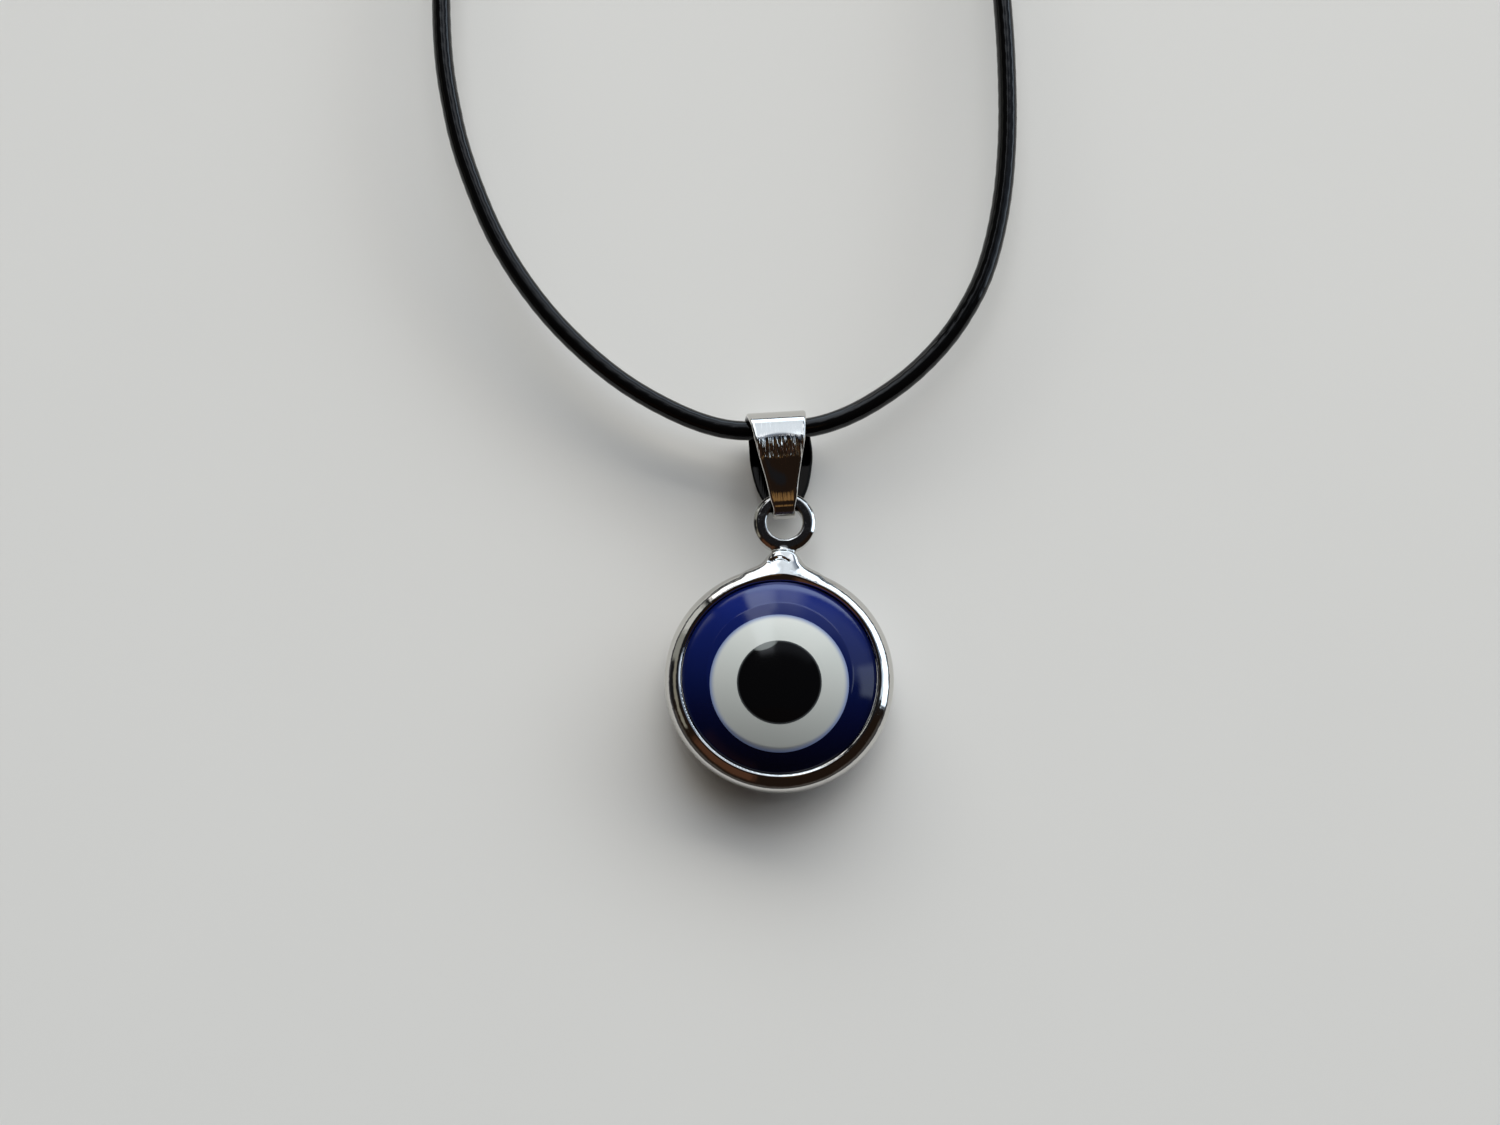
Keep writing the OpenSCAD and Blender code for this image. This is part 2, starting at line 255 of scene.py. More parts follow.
def make_piece(name, points, faces, material, nodes, sharp_deg=None):
    """Make one piece from points in millimetres, and give it its material, body, slot and CAD nodes."""
    mesh = bpy.data.meshes.new(name)
    faces = faces.tolist() if isinstance(faces, np.ndarray) else faces
    mesh.from_pydata((np.asarray(points, float) * MM).tolist(), [], faces)
    if mesh.validate():
        raise RuntimeError(f"{name} has faces that aren't valid")
    mesh.shade_smooth()
    if sharp_deg:
        mesh.set_sharp_from_angle(angle=math.radians(sharp_deg))
    mesh.materials.append(material)
    piece = into_scene(name, mesh)
    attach(piece, BODY)
    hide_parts(*nodes)
    return piece


# What all the colours that a user can change have in common
COLOUR = {"subtype": "COLOR", "size": 3, "min": 0, "max": 1}


class MetalLook(bpy.types.PropertyGroup):
    """Colour and polish of the plated metal."""

    colour: FloatVectorProperty(
        name="Plate", description="Colour of the bright plating", default=linear("D5D3CF"), **COLOUR,
    )
    polish: FloatProperty(
        name="Roughness", description="Roughness of the polished plating", subtype="FACTOR",
        min=0, max=1, default=0.05,
    )


class BeadLook(bpy.types.PropertyGroup):
    """Colours of the resin and the fine step round the pattern."""

    blue: FloatVectorProperty(
        name="Blue", description="Colour of the bead", default=linear("15236A"), **COLOUR,
    )
    # Painted shade: the near-black blue painted on the foot of the bead, where little light falls, not
    # settled dye
    painted_shade_blue: FloatVectorProperty(
        name="Deep blue", description="Colour of the bead where the dye has settled",
        default=linear("03071E"), **COLOUR,
    )
    white: FloatVectorProperty(
        name="White", description="Colour of the iris", default=linear("DADDDA"), **COLOUR,
    )
    rim_white: FloatVectorProperty(
        name="Iris rim", description="Colour of the iris where the blue shows through",
        default=linear("7384B0"), **COLOUR,
    )
    black: FloatVectorProperty(
        name="Black", description="Colour of the pupil", default=linear("070708"), **COLOUR,
    )
    step_r: FloatProperty(
        name="Step radius", description="Distance of the fine step from the middle of the bead",
        unit="LENGTH", min=0.0045, max=0.007, default=0.0054,
    )


class CordLook(bpy.types.PropertyGroup):
    """Size and braid of the waxed cord."""

    diameter: FloatProperty(
        name="Diameter", description="Diameter over the strands", unit="LENGTH",
        min=0.001, max=0.002, default=0.0015,
    )
    pick: FloatProperty(
        name="Strand spacing", description="Distance between strands along the cord", unit="LENGTH",
        min=0.0005, max=0.003, default=0.00135,
    )
    relief: FloatProperty(
        name="Relief", description="Depth between the strands under the wax", unit="LENGTH",
        min=0, max=0.0002, default=0.00002,
    )
    colour: FloatVectorProperty(
        name="Dye", description="Colour of the dyed strands", default=linear("070707"), **COLOUR,
    )


class BailLook(bpy.types.PropertyGroup):
    """Shape of the folded strap."""

    hollow: FloatProperty(
        name="Hollow", description="Depth of the hollow along the front leg", unit="LENGTH",
        min=0, max=0.0003, default=0.00015,
    )
    stations: IntProperty(
        name="Stations", description="Number of sections round the strap", min=60, max=600, default=300,
    )


class StageLook(bpy.types.PropertyGroup):
    """Floor and light of the studio."""

    floor: FloatVectorProperty(
        name="Floor", description="Colour of the floor", default=linear("DEDEDC"), **COLOUR,
    )
    room: FloatProperty(
        name="Room light", description="Brightness of the brightest patch of the room",
        min=0, max=10, default=2.8,
    )
    window: FloatProperty(
        name="Daylight", description="Power of the daylight from the window", unit="POWER",
        min=0, max=200, default=54.0,
    )
    ceiling: FloatProperty(
        name="Ceiling", description="Power of the light from the pale ceiling", unit="POWER",
        min=0, max=50, default=3.0,
    )


def cast_plated_zinc(look):
    """Zinc alloy cast in a mould, tumbled and plated bright: soft ripples under a mirror shine."""
    material, tree, shader = start_material(
        "cast_plated_zinc", {"Metallic": 1.0, "Base Color": rgba(look.colour)},
    )
    place = add_node(tree, "TexCoord").outputs["Object"]
    # Ripples of the casting, about a millimetre apart, and the much finer marks of tumbling
    ripple = add_node(tree, "TexNoise", {"Vector": place, "Scale": scale_for(1.1), "Detail": 2.0})
    marks = add_node(tree, "TexNoise", {"Vector": place, "Scale": scale_for(0.16), "Detail": 3.0})
    swell = add_node(tree, "Bump", {"Height": ripple, "Strength": 0.35, "Distance": 0.00004})
    fine = add_node(
        tree, "Bump", {"Height": marks, "Strength": 0.25, "Distance": 0.000006, "Normal": swell},
    )
    rough = add_node(
        tree, "MapRange",
        {"Value": marks, "From Min": 0.35, "From Max": 0.75,
         "To Min": look.polish * 0.7, "To Max": look.polish * 1.8},
    )
    set_inputs(shader, {"Normal": fine, "Roughness": rough})
    return material


def drawn_plated_brass(look):
    """Brass strip, drawn, folded and plated bright: fine lines streak its shine, and its inside is painted
    near black as shade.
    """
    material, tree, shader = start_material("drawn_plated_brass", {"Metallic": 1.0})
    place = add_node(tree, "UVMap", uv_map="strip")
    # Drawing lines about 0.14 mm apart and some 3 mm long, so 70 and 3 to the centimetre
    lines = add_node(tree, "Mapping", {"Vector": place, "Scale": (70.0, 3.0, 1.0)})
    streaks = add_node(tree, "TexNoise", {"Vector": lines, "Scale": 1.0, "Detail": 3.0})
    grain = add_node(tree, "Bump", {"Height": streaks, "Strength": 0.4, "Distance": 0.00002})
    # Deeper wrinkles below the crown, where the front leg was pressed hollow, 0.2 mm apart and 2 mm long
    axes = add_node(tree, "SeparateXYZ", {"Vector": place})
    off = add_node(tree, "Math", {0: axes.outputs["Y"], 1: WRINKLE_AT / MAP_UNIT}, operation="SUBTRACT")
    near = add_node(tree, "Math", {0: off}, operation="ABSOLUTE")
    pressed = add_node(
        tree, "MapRange",
        {"Value": near, "From Min": WRINKLE_REACH / MAP_UNIT, "From Max": WRINKLE_FULL / MAP_UNIT},
        interpolation_type="SMOOTHSTEP",
    )
    folds = add_node(tree, "Mapping", {"Vector": place, "Scale": (48.0, 5.0, 1.0)})
    wrinkles = add_node(tree, "TexNoise", {"Vector": folds, "Scale": 1.0, "Detail": 2.0})
    deep = add_node(
        tree, "Bump", {"Height": wrinkles, "Strength": pressed, "Distance": 0.00026, "Normal": grain},
    )
    rough = add_node(
        tree, "MapRange",
        {"Value": streaks, "From Min": 0.3, "From Max": 0.7,
         "To Min": look.polish * 0.8, "To Max": look.polish * 2.2},
    )
    # Painted shade: the inner side, inside the fold, is given a near-black plate
    inner = add_node(tree, "MapRange", {"Value": axes.outputs["X"], "From Min": 0.55, "From Max": 0.65})
    plate_and_painted_shade = add_node(
        tree, "Mix",
        {"Factor": inner, "A": rgba(look.colour), "B": rgba(linear("161514"))},
        data_type="RGBA",
    )
    set_inputs(shader, {"Base Color": plate_and_painted_shade, "Normal": deep, "Roughness": rough})
    return material


def cast_blue_resin(look):
    """Polyester resin, cast and buffed: a deep glossy blue with faint clouds where the dye is uneven, and
    painted shade darkening it towards its foot.
    """
    material, tree, shader = start_material("cast_blue_resin", {"Coat Weight": 0.3, "Coat Roughness": 0.03})
    place = add_node(tree, "TexCoord").outputs["Object"]
    clouds = add_node(tree, "TexNoise", {"Vector": place, "Scale": scale_for(4.0), "Detail": 2.0})
    # Painted shade: the blue is painted bright towards the eye ring, where the light falls, and near black
    # at the foot of the bead
    lean = math.radians(-8)
    along = add_node(
        tree, "VectorMath", {0: place, 1: (math.sin(lean), math.cos(lean), 0.0)}, operation="DOT_PRODUCT",
    )
    middle = FRAME_Y * MM * math.cos(lean)
    share = add_node(
        tree, "MapRange",
        {"Value": along, "From Min": middle - BEAD_R * MM, "From Max": middle + BEAD_R * MM},
    )
    # Painted shade: the share of light painted in, rising towards the eye ring
    thin = add_node(tree, "Math", {0: share, 1: 1.4}, operation="POWER")
    uneven = add_node(tree, "MapRange", {"Value": clouds, "From Min": 0.3, "From Max": 0.7, "To Min": 0.85})
    # Painted shade sets how far the blue runs from deep to bright, with the uneven clouds of dye over it
    clear = add_node(tree, "Math", {0: thin, 1: uneven}, operation="MULTIPLY")
    dye = add_node(
        tree, "Mix", {"Factor": clear, "A": rgba(look.painted_shade_blue), "B": rgba(look.blue)}, data_type="RGBA",
    )
    # Marks of the buffing wheel, half a millimetre apart
    buff = add_node(tree, "TexNoise", {"Vector": place, "Scale": scale_for(0.5), "Detail": 4.0})
    rough = add_node(
        tree, "MapRange", {"Value": buff, "From Min": 0.3, "From Max": 0.7, "To Min": 0.04, "To Max": 0.09},
    )
    soft = add_node(tree, "Bump", {"Height": buff, "Strength": 0.2, "Distance": 0.00001})
    set_inputs(shader, {"Base Color": dye, "Roughness": rough, "Normal": soft})
    return material


def from_pattern_middle(tree):
    """Place of a point of the surface, and its distance in plan from the middle of the pattern."""
    place = add_node(tree, "TexCoord").outputs["Object"]
    flat = add_node(tree, "VectorMath", {0: place, 1: (1.0, 1.0, 0.0)}, operation="MULTIPLY")
    middle = (0.0, (FRAME_Y - PATTERN_DROP) * MM, 0.0)
    away = add_node(tree, "VectorMath", {0: flat, 1: middle}, operation="DISTANCE")
    return place, away


def cast_white_resin(look):
    """White resin poured into the blue: glossy, cool, bluish at its rim where the layer thins out, and
    greyed towards its foot by painted shade.
    """
    material, tree, shader = start_material("cast_white_resin", {"Roughness": 0.09, "Coat Weight": 0.3})
    place, reach = from_pattern_middle(tree)
    fade_from, fade_to = IRIS_R - 0.4, IRIS_R + 0.05
    rim = add_node(
        tree, "MapRange", {"Value": reach, "From Min": fade_from * MM, "From Max": fade_to * MM},
        interpolation_type="SMOOTHSTEP",
    )
    clouds = add_node(tree, "TexNoise", {"Vector": place, "Scale": scale_for(2.5), "Detail": 2.0})
    tone = add_node(
        tree, "Mix",
        {"Factor": clouds, "A": rgba(look.white), "B": rgba(linear("D2D9D6"))},
        data_type="RGBA",
    )
    # Painted shade: the white is greyed towards its foot, where less light falls
    axes = add_node(tree, "SeparateXYZ", {"Vector": place})
    middle = (FRAME_Y - PATTERN_DROP) * MM
    thin = add_node(
        tree, "MapRange",
        {"Value": axes.outputs["Y"], "From Min": middle + IRIS_R * MM, "From Max": middle - IRIS_R * MM},
    )
    shaded = add_node(
        tree, "Mix", {"Factor": thin, "A": tone, "B": rgba(linear("9EA2A0"))}, data_type="RGBA",
    )
    layer = add_node(tree, "Mix", {"Factor": rim, "A": shaded, "B": rgba(look.rim_white)}, data_type="RGBA")
    set_inputs(shader, {"Base Color": layer})
    return material


def cast_black_resin(look):
    """Black resin poured into the white: glossy, grey at its rim, with a thin film at the upper left."""
    material, tree, shader = start_material("cast_black_resin", {"Roughness": 0.08, "Coat Weight": 0.3})
    place, reach = from_pattern_middle(tree)
    fade_from, fade_to = PUPIL_R - 0.16, PUPIL_R + 0.02
    rim = add_node(
        tree, "MapRange", {"Value": reach, "From Min": fade_from * MM, "From Max": fade_to * MM},
        interpolation_type="SMOOTHSTEP",
    )
    # The film is an oval of about 2 by 0.7 mm at the upper left, turned to follow the rim
    film_middle = Vector((-1.1, FRAME_Y - PATTERN_DROP + 2.72, MID_Z + 2.4)) * MM
    film_half_l, film_half_w = 0.95 * MM, 0.34 * MM
    oval = add_node(
        tree, "Mapping",
        {"Vector": place, "Location": film_middle, "Rotation": (0.0, 0.0, math.radians(22)),
         "Scale": (film_half_l, film_half_w, 1.0)},
        vector_type="TEXTURE",
    )
    inside = add_node(tree, "VectorMath", {0: oval}, operation="LENGTH")
    film = add_node(
        tree, "MapRange",
        {"Value": inside, "From Min": 1.05, "From Max": 0.75, "To Max": 0.8},
        interpolation_type="SMOOTHSTEP",
    )
    edge = add_node(
        tree, "Mix", {"Factor": rim, "A": rgba(look.black), "B": rgba(linear("4A4E50"))}, data_type="RGBA",
    )
    layer = add_node(
        tree, "Mix", {"Factor": film, "A": edge, "B": rgba(linear("7F8583"))}, data_type="RGBA",
    )
    set_inputs(shader, {"Base Color": layer})
    return material


def waxed_braid(look):
    """Polyester thread, braided, dyed and waxed: near black, with a soft shine along its upper side."""
    material, tree, shader = start_material("waxed_braid", {"Specular IOR Level": 0.3})
    place = add_node(tree, "TexCoord").outputs["Object"]
    # Patches of thicker wax, and the threads of 0.12 mm in each strand
    wax = add_node(tree, "TexNoise", {"Vector": place, "Scale": scale_for(1.6), "Detail": 3.0})
    thread = add_node(tree, "TexNoise", {"Vector": place, "Scale": scale_for(0.12), "Detail": 2.0})
    rough = add_node(
        tree, "MapRange", {"Value": wax, "From Min": 0.35, "From Max": 0.65, "To Min": 0.05, "To Max": 0.1},
    )
    dye = add_node(
        tree, "Mix", {"Factor": wax, "A": rgba(look.colour), "B": rgba(linear("0B0B0C"))}, data_type="RGBA",
    )
    fuzz = add_node(tree, "Bump", {"Height": thread, "Strength": 0.25, "Distance": 0.000015})
    set_inputs(shader, {"Base Color": dye, "Roughness": rough, "Normal": fuzz})
    return material


def turned_plated_brass(look):
    """Brass bar turned on a lathe and plated bright: very fine rings run round it."""
    material, tree, shader = start_material(
        "turned_plated_brass", {"Metallic": 1.0, "Base Color": rgba(look.colour)},
    )
    place = add_node(tree, "TexCoord").outputs["Object"]
    # Tool marks of 0.12 mm, each a ring about the clasp, which lies along X
    rings = add_node(tree, "Mapping", {"Vector": place, "Scale": (scale_for(0.12), 1.0, 1.0)})
    marks = add_node(tree, "TexNoise", {"Vector": rings, "Scale": 1.0, "Detail": 2.0})
    rough = add_node(
        tree, "MapRange",
        {"Value": marks, "From Min": 0.3, "From Max": 0.7,
         "To Min": look.polish, "To Max": look.polish * 2.5},
    )
    grain = add_node(tree, "Bump", {"Height": marks, "Strength": 0.3, "Distance": 0.00001})
    set_inputs(shader, {"Roughness": rough, "Normal": grain})
    return material


def matt_card(look):
    """Thick uncoated card, pressed smooth: pale and matt, a shade darker where the pulp is thicker."""
    material, tree, shader = start_material("matt_card", {"Roughness": 0.9, "Specular IOR Level": 0.2})
    place = add_node(tree, "TexCoord").outputs["Object"]
    pulp = add_node(tree, "TexNoise", {"Vector": place, "Scale": scale_for(30.0), "Detail": 2.0})
    shade = tuple(channel * 0.97 for channel in look.floor)
    tone = add_node(
        tree, "Mix", {"Factor": pulp, "A": rgba(look.floor), "B": rgba(shade)}, data_type="RGBA",
    )
    set_inputs(shader, {"Base Color": tone})
    return material


def smooth_least(a, b, ease):
    """Lesser of two distances with a rounded join, ease millimetres wide."""
    near = np.maximum(ease - np.abs(a - b), 0) / ease
    return np.minimum(a, b) - near ** 2 * ease / 4


def smooth_most(a, b, ease):
    """Greater of two distances with a rounded edge, ease millimetres wide."""
    return -smooth_least(-a, -b, ease)


def neck_distance(x, y, height):
    """Distance from the neck, which flares into the frame, is domed across and is a little lumpy."""
    edge_ease = 0.7
    end_ease = 0.3
    lap = 0.15
    end_curve = 0.25
    dome = 0.075
    flare_x = NECK_HALF_W + FLARE_R
    flare_y = math.sqrt((FRAME_R + FLARE_R) ** 2 - flare_x ** 2)
    side = np.abs(x)
    flare = FLARE_R - np.hypot(side - flare_x, y - flare_y)
    plan = np.maximum(np.where(y > flare_y, side - NECK_HALF_W, flare), side - flare_x)
    thinning = (NECK_ROOT_HALF_T - NECK_TIP_HALF_T) / (RING_REACH - RING_MID_R - NECK_FOOT_Y)
    half_t = NECK_ROOT_HALF_T - thinning * (y - NECK_FOOT_Y) - dome * x ** 2
    broad_lumps = 0.006 * np.sin(4.1 * x + 1.3) * np.sin(5.3 * y)
    small_lumps = 0.002 * np.sin(9 * x) * np.cos(7.9 * y + x)
    neck = smooth_most(plan, (height - half_t) / math.hypot(1, thinning), edge_ease)
    neck = neck + broad_lumps + small_lumps
    end = y - (RING_REACH - RING_R + lap) + end_curve * x ** 2
    return np.maximum(smooth_most(neck, end, end_ease), NECK_FOOT_Y - y)


def opened_frame(whole, x, y, reach, height):
    """Cut a flat face, a flat bore and a narrow bevel round the opening, broader below the neck."""
    lean = math.radians(33)
    bevel_w = 0.22
    neck_bevel_w = 0.2
    neck_spread = 2.0
    wide = bevel_w + neck_bevel_w * np.exp(-(x / neck_spread) ** 2) * (y > 0)
    over = height - FRAME_HALF_T
    bevel = over * math.cos(lean) + (OPENING_R + wide - reach) * math.sin(lean)
    for cut, ease in ((over, 0.04), (OPENING_R - reach, 0.05), (bevel, 0.06)):
        whole = smooth_most(whole, cut, ease)
    return whole


def eye_ring_distance(x, y, height):
    """Distance from the eye ring: flat, with a broad bevel outside and a narrow one round the hole."""
    ease = 0.05
    lean = math.radians(39)
    bevel_h = 0.12
    bevel_w = 0.13
    hole_bevel = 0.1
    reach = np.hypot(x, y - RING_REACH)
    over = height - RING_HALF_T
    ring = smooth_most(np.abs(reach - RING_MID_R) - (RING_R - RING_MID_R), over, ease)
    outside = (over + bevel_h) * math.cos(lean) + (reach - RING_R + bevel_w) * math.sin(lean)
    ring = smooth_most(ring, outside, ease)
    return smooth_most(ring, (over - reach + RING_HOLE_R + hole_bevel) / math.sqrt(2), ease)


def crease_distance(points):
    """Distance from a short bowed groove across the front of the neck, where the ring was soldered on."""
    start = np.array([-0.95, 8.8, 0.92])
    along = np.array([1.35, 0.02, 0.0])
    upwards = np.array([0.0, 1.0, 0.0])
    bow = 0.27
    start_r = 0.16
    narrowing = 0.07
    share = np.clip((points - start) @ along / (along @ along), 0, 1)
    lift = bow * np.sin(math.pi * share)
    centre = start + share[:, None] * along + lift[:, None] * upwards
    return np.linalg.norm(points - centre, axis=1) - start_r + narrowing * share


def setting_distance(points):
    """Distance from the skin of the setting, for points measured from the middle of the frame."""
    shoulder_ease = 0.25
    neck_fillet = 0.6
    ring_fillet = 0.3
    crease_ease = 0.1
    x, y, z = points.T
    reach = np.hypot(x, y)
    height = np.abs(z)
    # The frame is two shallow arches, front and back, that meet a straight side with an eased edge
    arches = np.hypot(reach - ARCH_MID_R, height + ARCH_DROP) - ARCH_R
    rim = smooth_most(arches, reach - FRAME_R, shoulder_ease)
    whole = smooth_least(rim, neck_distance(x, y, height), neck_fillet)
    whole = opened_frame(whole, x, y, reach, height)
    whole = smooth_least(whole, eye_ring_distance(x, y, height), ring_fillet)
    return smooth_most(whole, -crease_distance(points), crease_ease)


def box_shell(low, high):
    """Points and faces of a plain box."""
    points = [(x, y, z) for x in (low[0], high[0]) for y in (low[1], high[1]) for z in (low[2], high[2])]
    faces = [(0, 1, 3, 2), (4, 6, 7, 5), (0, 4, 5, 1), (2, 3, 7, 6), (0, 2, 6, 4), (1, 5, 7, 3)]
    return np.array(points, float), np.array(faces)


def hoop_shell(inner_r, outer_r, half_t, sides):
    """Points and faces of a hoop with a square section."""
    angles = np.arange(sides) * 2 * math.pi / sides
    x, y = np.cos(angles), np.sin(angles)
    rows = [(inner_r, -half_t), (outer_r, -half_t), (outer_r, half_t), (inner_r, half_t)]
    points = [np.stack([r * x, r * y, np.full(sides, z)], axis=1) for r, z in rows]
    return np.vstack(points), grid_faces(len(rows), sides, closed_rows=True)


def one_skin(shells, distance, cell):
    """Join shells that overlap into one skin of even quads, drawn onto where the distance is nought."""
    points, faces, count = [], [], 0
    for shell_points, shell_faces in shells:
        points.append(shell_points)
        faces.append(shell_faces + count)
        count += len(shell_points)
    mesh = bpy.data.meshes.new("shells")
    mesh.from_pydata(np.vstack(points).tolist(), [], np.vstack(faces).tolist())
    rough = into_scene("shells", mesh)
    remesh = rough.modifiers.new("skin", "REMESH")
    remesh.mode = "VOXEL"
    remesh.voxel_size = cell
    joined = rough.evaluated_get(bpy.context.evaluated_depsgraph_get()).to_mesh()
    skin = np.empty(len(joined.vertices) * 3)
    joined.vertices.foreach_get("co", skin)
    skin = skin.reshape(-1, 3)
    quads = np.array([polygon.vertices[:] for polygon in joined.polygons])
    bpy.data.objects.remove(rough)
    bpy.data.meshes.remove(mesh)
    nudge = 0.01
    least_slope = 0.05
    rounds = 8
    for _ in range(rounds):
        slope = np.stack(
            [distance(skin + nudge * axis) - distance(skin - nudge * axis) for axis in np.eye(3)], axis=1,
        ) / (2 * nudge)
        steepness = np.maximum((slope ** 2).sum(axis=1, keepdims=True), least_slope)
        skin = skin - distance(skin)[:, None] * slope / steepness
    normals = slope / np.linalg.norm(slope, axis=1, keepdims=True)
    return skin, quads, normals


def dome_height(reach):
    """Height of the front of the bead, measured from its pole: a flat dome inside a rounder one."""
    cap = np.sqrt(CAP_R ** 2 - np.minimum(reach, CAP_REACH) ** 2) - CAP_R
    rounder = np.sqrt(SHOULDER_R ** 2 - np.maximum(reach, CAP_REACH) ** 2)
    return cap + rounder - math.sqrt(SHOULDER_R ** 2 - CAP_REACH ** 2)


def face_height(reach):
    """Height of the front of the bead above its mid plane."""
    return BEAD_EDGE / 2 + dome_height(reach) - dome_height(BEAD_R)


def stacked_rings(rings, sides):
    """Points and faces through a stack of circles, where a circle of no radius is a point.

    A ring is the Y of its middle, its radius, and its height, which is a number or a function of the
    distance from the middle of the bead.
    """
    angles = np.arange(sides) * 2 * math.pi / sides
    points, rows = [], []
    for middle_y, radius, height in rings:
        count = sides if radius > 0 else 1
        x = radius * np.cos(angles[:count])
        y = middle_y + radius * np.sin(angles[:count])
        z = height(np.hypot(x, y - FRAME_Y)) if callable(height) else np.full(count, height)
        rows.append(np.arange(count) + sum(len(row) for row in rows))
        points.append(np.stack([x, y, z], axis=1))
    faces = []
    for low, high in zip(rows, rows[1:]):
        for k in range(sides):
            corners = [low[k % len(low)], low[(k + 1) % len(low)]]
            corners += [high[(k + 1) % len(high)], high[k % len(high)]]
            faces.append([int(corner) for corner in dict.fromkeys(corners)])
    return np.vstack(points), faces


def strap_path(stations):
    """Distances along the bent sheet, the ends of its spans, its middles and its outward directions.

    The sheet goes round the tip, up the front leg, over the crown and down the back leg.
    """
    tip_y = TIP_ABOVE + TIP_R
    crown_y = TIP_ABOVE + BAIL_L - CROWN_R
    tip_mid_r, crown_mid_r = TIP_R - SHEET_T / 2, CROWN_R - SHEET_T / 2
    slope = math.asin((CROWN_R - TIP_R) / (crown_y - tip_y))
    leg = (crown_y - tip_y) * math.cos(slope)
    tip_turn = math.pi / 2 - slope
    crown_turn = math.pi + 2 * slope
    past_crown = tip_turn + crown_turn
    spans = np.cumsum([0, tip_mid_r * tip_turn, leg, crown_mid_r * crown_turn, leg, tip_mid_r * tip_turn])
    at = np.arange(stations) * spans[-1] / stations
    turn = np.interp(at, spans, (0, tip_turn, tip_turn, past_crown, past_crown, 2 * math.pi))
    outward = np.stack([-np.cos(turn), np.sin(turn)], axis=1)
    ahead = np.stack([outward[:, 1], -outward[:, 0]], axis=1)
    on_crown = (at > spans[2]) & (at < spans[3])
    middle = np.where(on_crown[:, None], (crown_y, 0.0), (tip_y, 0.0))
    middle += outward * np.where(on_crown, crown_mid_r, tip_mid_r)[:, None]
    rising = (at >= spans[1]) & (at <= spans[2])
    middle[rising] += ahead[rising] * (at[rising] - spans[1])[:, None]
    falling = (at >= spans[3]) & (at <= spans[4])
    middle[falling] -= ahead[falling] * (spans[4] - at[falling])[:, None]

    # The front of the crown is pressed a little flat, which leaves a low ridge above the front leg
    ridge_h = 0.2
    crown_side, leg_side = 0.95, 1.3
    ridge = eased(1 - np.abs(at - spans[2]) / np.where(at > spans[2], crown_side, leg_side))
    middle += outward * (ridge_h * ridge)[:, None]

    # The foot of the front leg bends back a little towards the tip
    bend = 0.06
    bend_from, bend_l = 0.2, 0.9
    up_leg = np.clip((at - spans[1] - bend_from) / bend_l, 0, 1)
    up_tip = np.clip(at / spans[1], 0, 1)
    inwards = np.where(at < spans[2], bend * (1 - up_leg) ** 2 * up_tip ** 2, 0)
    middle -= outward * inwards[:, None]
    return at, spans, middle, outward


def strap_half_width(middle):
    """Half the width of the strap at each station, from the outlines of its legs, blended at the folds."""
    blend_depth = 1.2
    share = (middle[:, 0] - TIP_ABOVE) / BAIL_L
    outlines = [smoothed(rows, steps=12) for rows in (FRONT_LEG, BACK_LEG)]
    front, back = [np.interp(share, rows[:, 0], rows[:, 1]) for rows in outlines]
    forward = np.clip(middle[:, 1] / blend_depth + 0.5, 0, 1)
    return (TIP_W + (CROWN_W - TIP_W) * (forward * front + (1 - forward) * back)) / 2


def strap_section(half_w, depth):
    """Points round the strap at each station, across and out from its middle.

    First comes its front, hollow by the depth between rounded edges, and then its flat inner side.
    """
    stations = len(half_w)
    half_w, depth = half_w[:, None], depth[:, None]
    front = np.linspace(-1, 1, 21) * (half_w - CORNER_R)
    groove = depth * np.clip(1 - (front / (half_w - EDGE_W)) ** 2, 0, None)
    corner = np.radians((0, 30, 60, 90))
    inset = np.tile(CORNER_R * (1 - np.sin(corner)), (stations, 1))
    drop = np.tile(CORNER_R * (1 - np.cos(corner)), (stations, 1))
    half_t = SHEET_T / 2
    across = [
        inset[:, :0:-1] - half_w, front, half_w - inset[:, 1:],
        half_w - inset[:, ::-1], inset - half_w,
    ]
    out = [
        half_t - drop[:, :0:-1], half_t - groove, half_t - drop[:, 1:],
        drop[:, ::-1] - half_t, drop - half_t,
    ]
    return np.hstack(across), np.hstack(out)


class PENDANT_OT_set_camera(bpy.types.Operator):
    """Set the camera above the pendant, leaning from the side of the bead"""

    bl_idname = "pendant.set_camera"
    bl_label = "Set camera"

    def execute(self, context):
        tilt = math.radians(CAMERA_TILT)
        turn = math.radians(CAMERA_TURN)
        level = Vector((-math.sin(turn), math.cos(turn), 0.0))
        look = level * math.sin(tilt) - Vector((0.0, 0.0, math.cos(tilt)))
        right = Vector((math.cos(turn), math.sin(turn), 0.0))
        lens = bpy.data.cameras.new("camera")
        lens.lens = 50.0
        lens.sensor_width = 36.0
        lens.clip_start = 0.01
        camera = into_scene("camera", lens)
        axes = Matrix((right, right.cross(look), -look)).transposed().to_4x4()
        camera.matrix_world = Matrix.Translation(Vector(CAMERA_PLACE) * MM) @ axes
        context.scene.camera = camera
        return {"FINISHED"}


